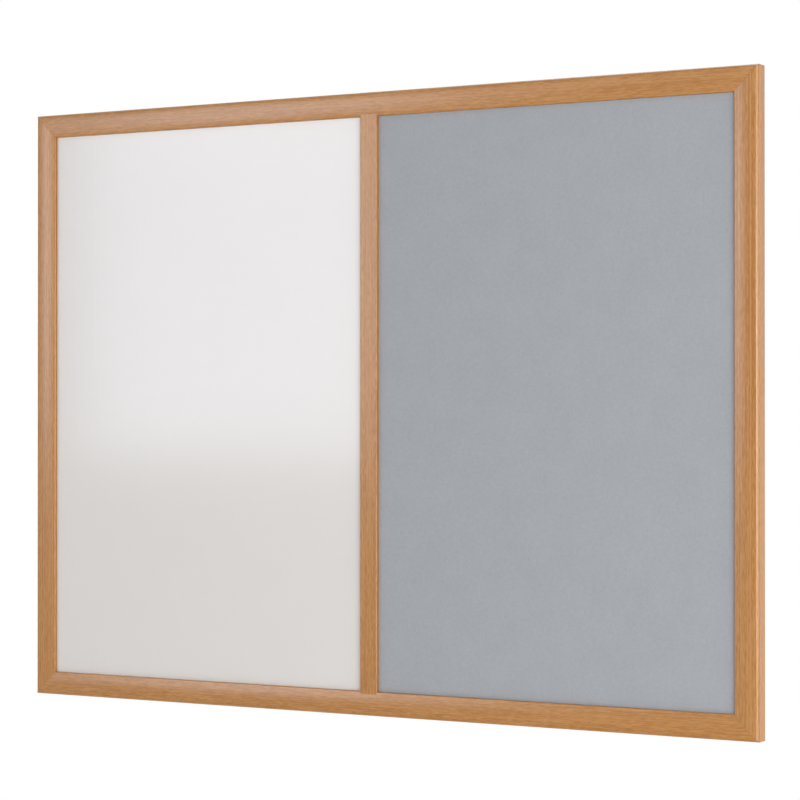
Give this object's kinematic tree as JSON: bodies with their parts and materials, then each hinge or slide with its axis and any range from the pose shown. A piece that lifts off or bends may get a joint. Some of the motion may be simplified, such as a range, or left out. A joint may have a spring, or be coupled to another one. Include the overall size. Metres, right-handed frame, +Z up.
{
  "type": "combination board",
  "caption": "Wall-hung combination board: a glossy dry-wipe panel and a fabric pin panel either side of a flat mullion, in a mitred wood-effect frame.",
  "frame": {"origin": "middle of the back, on the wall plane, on the rear face of the batten", "axes": "+X to the right seen from the front, along the rails; +Y into the wall; +Z up, along the stiles"},
  "size_m": [1.2, 0.0247, 0.9],
  "materials": {
    "oak_foil": "light oak-effect foil, satin, straight fine grain along each member",
    "white_steel": "glossy white coated steel writing surface",
    "grey_felt": "mid-grey felt-like loop cloth, matt",
    "fibreboard": "raw brown fibreboard",
    "softboard": "raw soft fibreboard, matt",
    "hardboard": "dark brown hardboard, fine mesh texture",
    "pine": "planed softwood",
    "zinc_steel": "bright zinc-plated steel"
  },
  "bodies": {
    "root": {"back_sheet_left": "hardboard", "back_sheet_right": "hardboard", "batten_screw_1": "zinc_steel", "batten_screw_2": "zinc_steel", "batten_screw_3": "zinc_steel", "batten_screw_4": "zinc_steel", "bottom_rail": "oak_foil", "corner_nail_bottom_left_1": "zinc_steel", "corner_nail_bottom_left_2": "zinc_steel", "corner_nail_bottom_right_1": "zinc_steel", "corner_nail_bottom_right_2": "zinc_steel", "corner_nail_top_left_1": "zinc_steel", "corner_nail_top_left_2": "zinc_steel", "corner_nail_top_right_1": "zinc_steel", "corner_nail_top_right_2": "zinc_steel", "glazing_point_bottom_1": "zinc_steel", "glazing_point_bottom_2": "zinc_steel", "glazing_point_bottom_3": "zinc_steel", "glazing_point_bottom_4": "zinc_steel", "glazing_point_left_1": "zinc_steel", "glazing_point_left_2": "zinc_steel", "glazing_point_left_3": "zinc_steel", "glazing_point_right_1": "zinc_steel", "glazing_point_right_2": "zinc_steel", "glazing_point_right_3": "zinc_steel", "glazing_point_top_1": "zinc_steel", "glazing_point_top_2": "zinc_steel", "glazing_point_top_3": "zinc_steel", "glazing_point_top_4": "zinc_steel", "hanger_plate_bottom_left": "zinc_steel", "hanger_plate_bottom_right": "zinc_steel", "hanger_plate_top_left": "zinc_steel", "hanger_plate_top_right": "zinc_steel", "hanger_screw_bottom_left_lower": "zinc_steel", "hanger_screw_bottom_left_upper": "zinc_steel", "hanger_screw_bottom_right_lower": "zinc_steel", "hanger_screw_bottom_right_upper": "zinc_steel", "hanger_screw_top_left_lower": "zinc_steel", "hanger_screw_top_left_upper": "zinc_steel", "hanger_screw_top_right_lower": "zinc_steel", "hanger_screw_top_right_upper": "zinc_steel", "left_stile": "oak_foil", "mullion": "oak_foil", "noticeboard_core": "softboard", "noticeboard_fabric": "grey_felt", "rear_batten": "pine", "right_stile": "oak_foil", "top_rail": "oak_foil", "whiteboard_core": "fibreboard", "whiteboard_sheet": "white_steel"}
  },
  "joints": []
}
